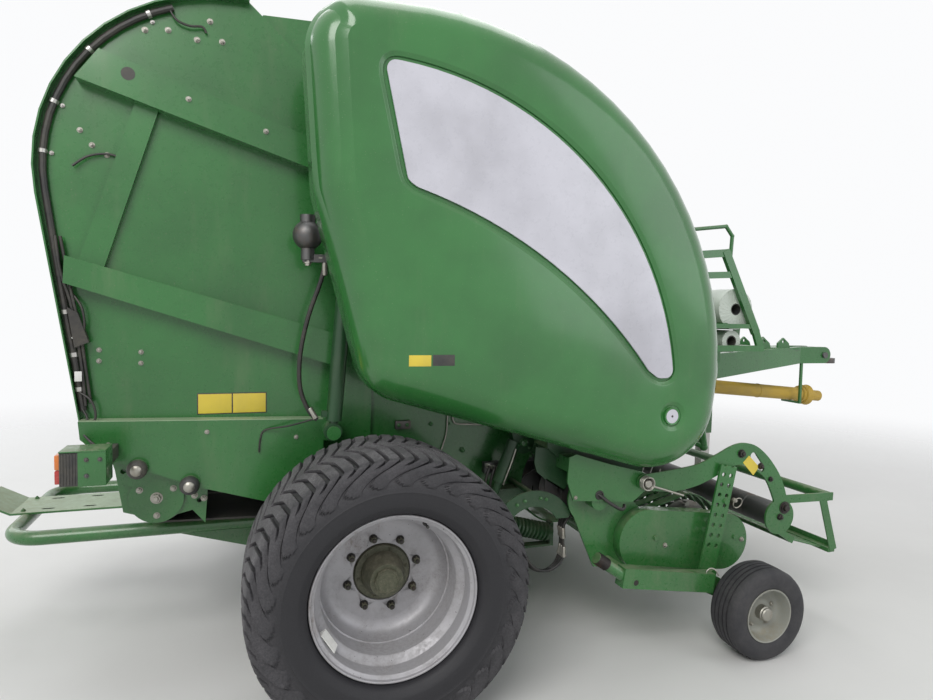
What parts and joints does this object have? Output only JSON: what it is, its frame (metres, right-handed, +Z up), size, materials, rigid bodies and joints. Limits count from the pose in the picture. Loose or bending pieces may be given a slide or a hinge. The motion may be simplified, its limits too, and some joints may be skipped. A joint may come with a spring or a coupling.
{
  "type": "round baler",
  "caption": "Variable-chamber round baler with moulded side covers that lift, a swing-up tailgate on cylinders, a tined pick-up, road wheels and a towing drawbar.",
  "frame": {"origin": "middle of the machine's length and width, on the ground", "axes": "+X forwards along the drawbar, +Y to the machine's left, +Z up"},
  "size_m": [4.98, 2.66, 2.715],
  "materials": {
    "green_paint": "gloss",
    "dark_green_paint": "satin",
    "green_moulding": "gloss",
    "silver_panel": "satin",
    "silver_paint": "satin",
    "dark_steel": "matte",
    "bare_steel": "brushed",
    "chrome_rod": "polished",
    "tyre_rubber": "matte",
    "belt_rubber": "matte",
    "hose_rubber": "satin",
    "yellow_plastic": "matte",
    "net_plastic": "satin",
    "lamp_body": "matte",
    "lamp_lens": "gloss"
  },
  "bodies": {
    "chassis": {"chassis_frame": "dark_green_paint", "axle": "dark_green_paint", "chamber_sides": "green_paint", "ram_ears": "green_paint", "ram_ear_blocks": "green_paint", "front_housing": "green_paint", "cover_hinge_rails": "green_paint", "chamber_rollers": "dark_steel", "front_belts": "belt_rubber", "roller_chain": "dark_steel", "intake_walls": "green_paint", "knife_gear": "dark_green_paint", "drawbar": "green_paint", "towing_eye": "dark_steel", "gearbox": "dark_steel", "drive_shaft": "yellow_plastic", "platform_rails": "green_paint", "net_rolls": "net_plastic"},
    "jack": {"jack_leg": "bare_steel"},
    "tailgate": {"tailgate_sides": "green_paint", "tailgate_beams": "dark_green_paint", "tailgate_rollers": "dark_steel", "tailgate_belts": "belt_rubber", "roller_brackets": "green_paint", "accumulators": "dark_steel", "tailgate_hoses": "hose_rubber", "lamp_boxes": "lamp_body", "lamp_lenses": "lamp_lens"},
    "barrel_right": {"ram_barrel_right": "dark_green_paint"},
    "barrel_left": {"ram_barrel_left": "dark_green_paint"},
    "rod_right": {"ram_rod_right": "chrome_rod"},
    "rod_left": {"ram_rod_left": "chrome_rod"},
    "door_right": {"cover_right": "green_moulding", "cover_panel_right": "silver_panel"},
    "door_left": {"cover_left": "green_moulding", "cover_panel_left": "silver_panel"},
    "wheel_right": {"tyre_right": "tyre_rubber", "rim_right": "silver_paint", "hub_right": "dark_green_paint"},
    "wheel_left": {"tyre_left": "tyre_rubber", "rim_left": "silver_paint", "hub_left": "dark_green_paint"},
    "pickup": {"pickup_frame": "green_paint", "pickup_shields": "green_paint", "pickup_bands": "green_paint"},
    "reel": {"tine_reel": "bare_steel"},
    "gauge_right": {"gauge_wheel_right": "tyre_rubber"},
    "gauge_left": {"gauge_wheel_left": "tyre_rubber"},
    "guard": {"crop_guard": "green_paint"},
    "rotor": {"feed_rotor": "dark_steel"},
    "kicker": {"kicker": "green_paint"}
  },
  "joints": [
    {"name": "jack_slide", "type": "slide", "parent": "chassis", "child": "jack", "axis": [0, 0, -1], "range_m": [0, 0.15]},
    {"name": "tailgate_hinge", "type": "hinge", "parent": "chassis", "child": "tailgate", "pos_m": [-1.07, 0, 2.44], "axis": [0, 1, 0], "range_deg": [0, 60]},
    {"name": "barrel_right_pivot", "type": "hinge", "parent": "tailgate", "child": "barrel_right", "pos_m": [-1.051, -0.792, 1.015], "axis": [0, 1, 0], "range_deg": [0, 7.5]},
    {"name": "barrel_left_pivot", "type": "hinge", "parent": "tailgate", "child": "barrel_left", "pos_m": [-1.051, 0.792, 1.015], "axis": [0, 1, 0], "range_deg": [0, 7.5]},
    {"name": "rod_right_slide", "type": "slide", "parent": "barrel_right", "child": "rod_right", "axis": [0.0747, 0, 0.9972], "range_m": [0, 0.262]},
    {"name": "rod_left_slide", "type": "slide", "parent": "barrel_left", "child": "rod_left", "axis": [0.0747, 0, 0.9972], "range_m": [0, 0.262]},
    {"name": "door_right_hinge", "type": "hinge", "parent": "chassis", "child": "door_right", "pos_m": [-0.455, -0.76, 2.56], "axis": [-1, 0, 0], "range_deg": [0, 65]},
    {"name": "door_left_hinge", "type": "hinge", "parent": "chassis", "child": "door_left", "pos_m": [-0.455, 0.76, 2.56], "axis": [1, 0, 0], "range_deg": [0, 65]},
    {"name": "wheel_right_spin", "type": "hinge", "parent": "chassis", "child": "wheel_right", "pos_m": [-0.89, -1.08, 0.51], "axis": [0, 1, 0], "continuous": true},
    {"name": "wheel_left_spin", "type": "hinge", "parent": "chassis", "child": "wheel_left", "pos_m": [-0.89, 1.08, 0.51], "axis": [0, 1, 0], "continuous": true},
    {"name": "pickup_lift", "type": "hinge", "parent": "chassis", "child": "pickup", "pos_m": [0.07, 0, 0.7], "axis": [0, -1, 0], "range_deg": [0, 12]},
    {"name": "reel_spin", "type": "hinge", "parent": "pickup", "child": "reel", "pos_m": [0.6, 0, 0.48], "axis": [0, 1, 0], "continuous": true},
    {"name": "gauge_right_spin", "type": "hinge", "parent": "pickup", "child": "gauge_right", "pos_m": [0.789, -1.18, 0.205], "axis": [0, 1, 0], "continuous": true},
    {"name": "gauge_left_spin", "type": "hinge", "parent": "pickup", "child": "gauge_left", "pos_m": [0.789, 1.18, 0.205], "axis": [0, 1, 0], "continuous": true},
    {"name": "guard_lift", "type": "hinge", "parent": "chassis", "child": "guard", "pos_m": [0.277, 0, 0.778], "axis": [0, -1, 0], "range_deg": [0, 16]},
    {"name": "rotor_spin", "type": "hinge", "parent": "chassis", "child": "rotor", "pos_m": [0.07, 0, 0.7], "axis": [0, 1, 0], "continuous": true},
    {"name": "kicker_swing", "type": "hinge", "parent": "chassis", "child": "kicker", "pos_m": [-1.03, 0, 0.546], "axis": [0, -1, 0], "range_deg": [0, 18]}
  ],
  "couplings": [
    {"joint": "barrel_right_pivot", "follows": "tailgate_hinge", "ratio": 0.1242},
    {"joint": "barrel_left_pivot", "follows": "tailgate_hinge", "ratio": 0.1242},
    {"joint": "rod_right_slide", "follows": "tailgate_hinge", "m_per_rad": 0.249},
    {"joint": "rod_left_slide", "follows": "tailgate_hinge", "m_per_rad": 0.249}
  ]
}
